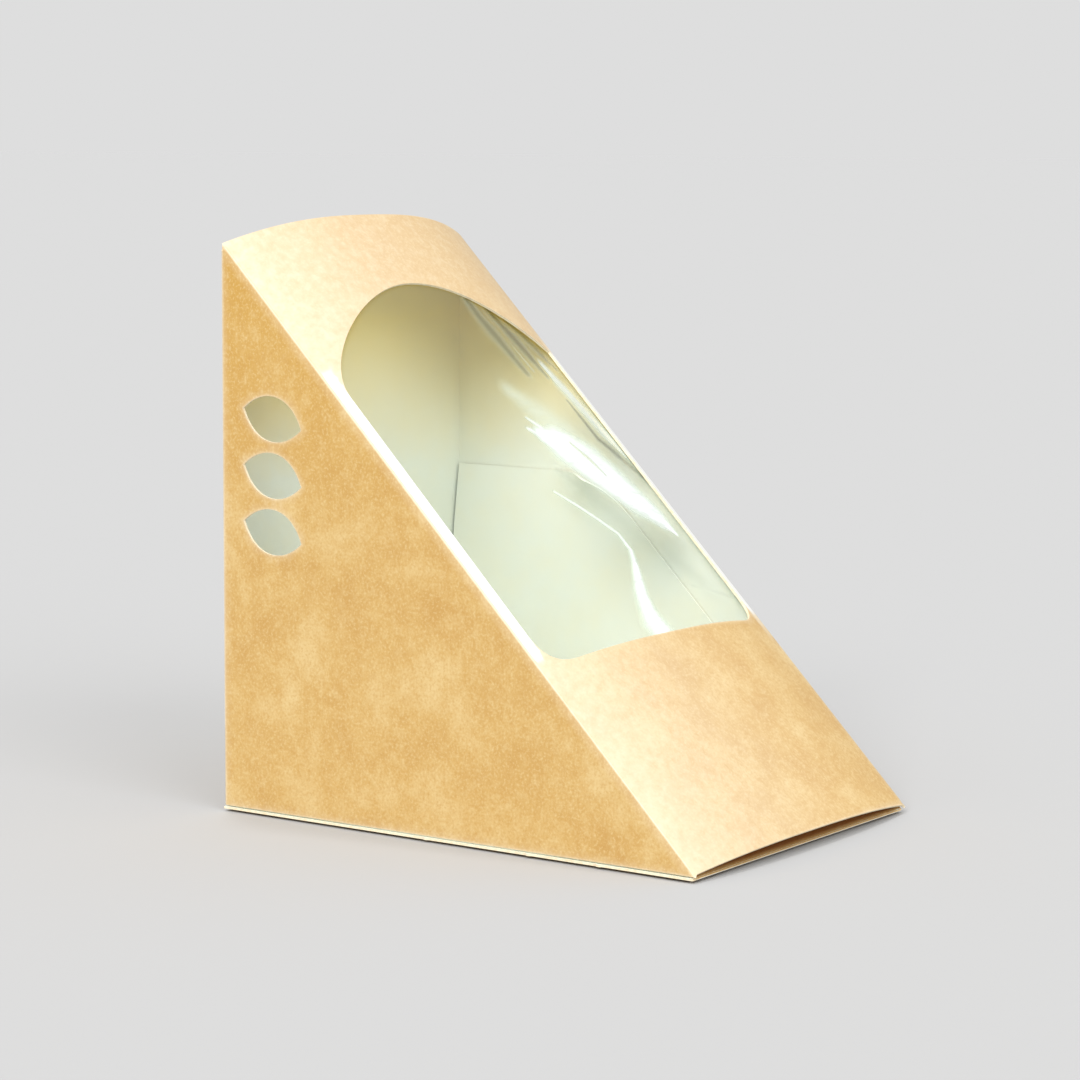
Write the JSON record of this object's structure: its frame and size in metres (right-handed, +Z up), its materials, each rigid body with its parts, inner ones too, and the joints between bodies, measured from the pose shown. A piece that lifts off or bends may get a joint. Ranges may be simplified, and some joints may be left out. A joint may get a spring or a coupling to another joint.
{
  "type": "sandwich wedge pack",
  "caption": "Folded kraft board wedge carton with a clear film window in its sloping front, leaf-shaped vents in one side and a hinged base lid.",
  "frame": {"origin": "middle of the base lid's underside, on the surface that the pack stands on", "axes": "+Z up, -Y towards the foot of the sloping front, -X towards the side panel with the vents"},
  "size_m": [0.0864, 0.1232, 0.1282],
  "materials": {
    "kraft_board": "uncoated kraft outside, white lined inside, pale cut edges",
    "clear_film": "clear glossy film with soft creases"
  },
  "bodies": {
    "carton": {"carton": "kraft_board", "window_film": "clear_film"},
    "lid": {"base_lid": "kraft_board"}
  },
  "joints": [
    {"name": "lid_hinge", "type": "hinge", "parent": "carton", "child": "lid", "pos_m": [0, 0.061, 0.00065], "axis": [1, 0, 0], "range_deg": [0, 120]}
  ]
}
